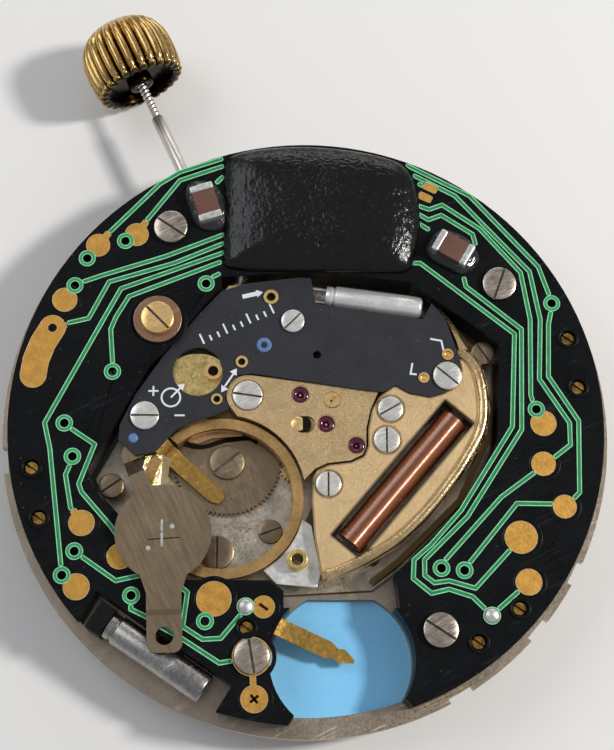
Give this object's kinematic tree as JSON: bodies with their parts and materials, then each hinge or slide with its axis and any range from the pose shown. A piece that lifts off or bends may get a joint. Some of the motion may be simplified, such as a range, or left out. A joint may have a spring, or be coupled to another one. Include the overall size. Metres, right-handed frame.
{
  "type": "watch movement",
  "caption": "Round quartz watch movement with a hand movement set in a ring circuit board, open cell wells, battery bridle, winding stem and fluted crown.",
  "frame": {"origin": "on the axis of the hands, in the plane of the lip round the dial recess, where the minute pipe also ends", "axes": "+Z points to the circuit side, +X runs along the winding stem towards the crown"},
  "size_m": [0.0388, 0.03, 0.0053],
  "materials": {
    "nickel_plate": "satin",
    "black_plastic": "matte",
    "gold_plate": "polished",
    "board_black": "semi-gloss",
    "track_green": "semi-gloss",
    "solder_green": "semi-gloss",
    "glob_black": "gloss",
    "capacitor_brown": "matte",
    "solder_silver": "satin",
    "clear_epoxy": "gloss",
    "steel_can": "satin",
    "film_blue": "semi-gloss",
    "screw_steel": "satin",
    "washer_copper": "satin",
    "display_glass": "polished",
    "connector_rubber": "matte",
    "plate_nickel": "satin",
    "magnet_steel": "satin",
    "wheel_brass": "polished",
    "wheel_steel": "satin",
    "ring_gold": "satin",
    "bridle_steel": "brushed",
    "bush_nickel": "satin",
    "coil_copper": "satin",
    "soft_iron": "satin",
    "bridge_brass": "satin",
    "ruby": "polished",
    "plate_brass": "satin",
    "mark_white": "matte",
    "crown_gold": "polished"
  },
  "bodies": {
    "movement": {"base_ring": "nickel_plate", "spacer_frame": "black_plastic", "side_contacts": "gold_plate", "ring_pcb": "board_black", "circuit_tracks": "track_green", "via_rings": "solder_green", "contact_pads": "gold_plate", "chip_glob_top": "glob_black", "capacitor_bodies": "capacitor_brown", "capacitor_terminals": "solder_silver", "capacitor_epoxy": "clear_epoxy", "digital_crystal": "steel_can", "crystal_leads": "solder_silver", "analog_crystal": "steel_can", "battery_insulator_film": "film_blue", "digital_battery_contact": "gold_plate", "pcb_screws": "screw_steel", "clamp_washer": "washer_copper", "case_clamp_screw": "gold_plate", "circuit_pins": "gold_plate", "lcd_glass": "display_glass", "lcd_connectors": "connector_rubber", "analog_mainplate": "plate_nickel", "motion_cover": "nickel_plate", "setting_wheel_screw": "wheel_steel", "setting_cover": "bridge_brass", "battery_ring": "ring_gold", "negative_contact": "gold_plate", "bridle_pivot_post": "screw_steel", "bush_plate": "bush_nickel", "bridle_bush": "bridge_brass", "movement_screws": "wheel_steel", "coil_winding": "coil_copper", "coil_core": "soft_iron", "stator": "soft_iron", "coil_plate": "bridge_brass", "bridge_screws": "screw_steel", "train_bridge": "bridge_brass", "bridge_jewels": "ruby", "keyless_bridge": "plate_brass", "analog_board": "board_black", "board_pins": "gold_plate", "board_screws": "screw_steel", "board_markings": "mark_white"},
    "rotor": {"rotor": "magnet_steel"},
    "intermediate_wheel": {"intermediate_wheel": "wheel_brass"},
    "second_wheel": {"second_wheel": "wheel_brass"},
    "third_wheel": {"third_wheel": "wheel_brass"},
    "centre_wheel": {"centre_wheel": "wheel_brass"},
    "cannon_pinion": {"cannon_pinion": "screw_steel"},
    "minute_wheel": {"minute_wheel": "wheel_brass"},
    "hour_wheel": {"hour_wheel": "wheel_brass"},
    "setting_wheel": {"setting_wheel": "wheel_steel"},
    "sliding_pinion": {"sliding_pinion": "screw_steel"},
    "winding_stem": {"stem": "screw_steel", "crown": "crown_gold"},
    "setting_lever": {"setting_lever": "screw_steel"},
    "battery_bridle": {"battery_bridle": "bridle_steel"}
  },
  "joints": [
    {"name": "intermediate_wheel_turn", "type": "hinge", "parent": "movement", "child": "intermediate_wheel", "pos_m": [-0.00037, -0.00088, 0.0032], "axis": [0, 0, 1], "continuous": true},
    {"name": "rotor_turn", "type": "hinge", "parent": "movement", "child": "rotor", "pos_m": [-0.00195, -0.00176, 0.0029], "axis": [0, 0, 1], "continuous": true},
    {"name": "second_wheel_turn", "type": "hinge", "parent": "movement", "child": "second_wheel", "pos_m": [0.0006, -0.00165, 0.0029], "axis": [0, 0, 1], "continuous": true},
    {"name": "third_wheel_turn", "type": "hinge", "parent": "movement", "child": "third_wheel", "pos_m": [0.0015, -0.00035, 0.0026], "axis": [0, 0, 1], "continuous": true},
    {"name": "centre_wheel_turn", "type": "hinge", "parent": "movement", "child": "centre_wheel", "pos_m": [0, 0, 0.0014], "axis": [0, 0, 1], "continuous": true},
    {"name": "setting_wheel_turn", "type": "hinge", "parent": "movement", "child": "setting_wheel", "pos_m": [0.0002, 0.00421, 0.0024], "axis": [0, 0, 1], "continuous": true},
    {"name": "minute_wheel_turn", "type": "hinge", "parent": "movement", "child": "minute_wheel", "pos_m": [-0.00145, 0.0016, 0.0012], "axis": [0, 0, 1], "continuous": true},
    {"name": "cannon_pinion_turn", "type": "hinge", "parent": "movement", "child": "cannon_pinion", "pos_m": [0, 0, 0.0011], "axis": [0, 0, 1], "continuous": true},
    {"name": "hour_wheel_turn", "type": "hinge", "parent": "movement", "child": "hour_wheel", "pos_m": [0, 0, 0.0009], "axis": [0, 0, 1], "continuous": true},
    {"name": "crown_turn", "type": "hinge", "parent": "movement", "child": "sliding_pinion", "pos_m": [0.0045, 0, 0.0029], "axis": [1, 0, 0], "continuous": true},
    {"name": "crown_pull", "type": "slide", "parent": "sliding_pinion", "child": "winding_stem", "axis": [1, 0, 0], "range_m": [0, 0.0008]},
    {"name": "setting_lever_swing", "type": "hinge", "parent": "movement", "child": "setting_lever", "pos_m": [0.00625, 0.0016, 0.0033], "axis": [0, 0, 1], "range_deg": [0, 30.1]},
    {"name": "bridle_swing", "type": "hinge", "parent": "movement", "child": "battery_bridle", "pos_m": [0.00265, 0.00781, 0.0038], "axis": [0, 0, 1], "range_deg": [-40, 44.3]}
  ],
  "couplings": [
    {"joint": "rotor_turn", "follows": "intermediate_wheel_turn", "ratio": -6},
    {"joint": "second_wheel_turn", "follows": "intermediate_wheel_turn", "ratio": -0.2},
    {"joint": "third_wheel_turn", "follows": "intermediate_wheel_turn", "ratio": 0.05},
    {"joint": "centre_wheel_turn", "follows": "intermediate_wheel_turn", "ratio": -0.016667},
    {"joint": "minute_wheel_turn", "follows": "setting_wheel_turn", "ratio": -6},
    {"joint": "cannon_pinion_turn", "follows": "setting_wheel_turn", "ratio": 18},
    {"joint": "hour_wheel_turn", "follows": "setting_wheel_turn", "ratio": 1.5},
    {"joint": "setting_lever_swing", "follows": "crown_pull", "rad_per_m": 654.5}
  ]
}
